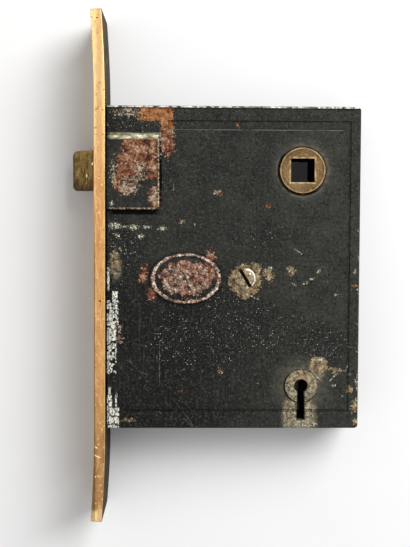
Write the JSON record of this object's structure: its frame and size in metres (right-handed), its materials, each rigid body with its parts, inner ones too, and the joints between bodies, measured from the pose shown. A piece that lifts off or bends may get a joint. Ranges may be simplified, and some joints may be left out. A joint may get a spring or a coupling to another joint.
{
  "type": "mortise door lock",
  "caption": "Mortise door lock with a brass face plate, a bevelled spring latch worked by a square spindle hub, a keyed dead bolt behind three levers, and a cast case with a screwed cap.",
  "frame": {"origin": "centre of the face plate, midway between the two door screws and midway through its width and thickness", "axes": "-X out of the face plate, the way the bolts are thrown; +Y up the face plate; +Z out of the cap, so the lock lies on its back"},
  "size_m": [0.0802, 0.1402, 0.0222],
  "materials": {
    "face_brass": "drawn brass bar, worn bright on its edges and dull behind",
    "bolt_brass": "cast brass, browned and rubbed",
    "hub_brass": "turned brass, dull tan",
    "lever_brass": "stamped brass sheet",
    "japanned_iron": "black japan, chipped and rusted",
    "small_steel": "turned steel, worn bare",
    "work_steel": "oiled steel",
    "spring_steel": "blued spring wire and strip"
  },
  "bodies": {
    "lock_body": {"lock_case": "japanned_iron", "case_cap": "japanned_iron", "cap_screw": "small_steel", "face_plate": "face_brass", "plate_screws": "small_steel", "latch_spring": "spring_steel", "spring_washer": "work_steel", "bolt_guide_post": "work_steel", "lever_post": "work_steel", "lever_spacer": "work_steel", "spring_stop_pin": "work_steel"},
    "hub": {"spindle_hub": "hub_brass"},
    "latch": {"latch_head": "bolt_brass", "latch_fork": "work_steel", "latch_rivet": "work_steel"},
    "dead_bolt": {"deadbolt_head": "bolt_brass", "deadbolt_tail": "work_steel", "deadbolt_rivet": "work_steel", "deadbolt_stump": "work_steel"},
    "first_lever": {"lever_lower": "lever_brass", "lever_spring_lower": "spring_steel"},
    "second_lever": {"lever_middle": "lever_brass", "lever_spring_middle": "spring_steel"},
    "third_lever": {"lever_upper": "lever_brass", "lever_spring_upper": "spring_steel"}
  },
  "joints": [
    {"name": "hub_turn", "type": "hinge", "parent": "lock_body", "child": "hub", "pos_m": [0.0555, 0.027, 0], "axis": [0, 0, 1], "range_deg": [0, 43.9]},
    {"name": "latch_slide", "type": "slide", "parent": "lock_body", "child": "latch", "axis": [1, 0, 0], "range_m": [0, 0.0072], "stiffness_N_per_m": 350, "springref_m": -0.012, "deforming": ["latch_spring"]},
    {"name": "deadbolt_throw", "type": "slide", "parent": "lock_body", "child": "dead_bolt", "axis": [-1, 0, 0], "range_m": [0, 0.0095]},
    {"name": "first_lever_lift", "type": "hinge", "parent": "lock_body", "child": "first_lever", "pos_m": [0.0225, -0.0082, 0], "axis": [0, 0, 1], "range_deg": [0, 5], "stiffness_Nm_per_rad": 0.05, "springref_deg": -17.19, "deforming": ["lever_spring_lower"]},
    {"name": "second_lever_lift", "type": "hinge", "parent": "lock_body", "child": "second_lever", "pos_m": [0.0225, -0.0082, 0], "axis": [0, 0, 1], "range_deg": [0, 5], "stiffness_Nm_per_rad": 0.05, "springref_deg": -17.19, "deforming": ["lever_spring_middle"]},
    {"name": "third_lever_lift", "type": "hinge", "parent": "lock_body", "child": "third_lever", "pos_m": [0.0225, -0.0082, 0], "axis": [0, 0, 1], "range_deg": [0, 5], "stiffness_Nm_per_rad": 0.05, "springref_deg": -17.19, "deforming": ["lever_spring_upper"]}
  ],
  "couplings": [
    {"joint": "hub_turn", "follows": "latch_slide", "rad_per_m": 106.38}
  ]
}
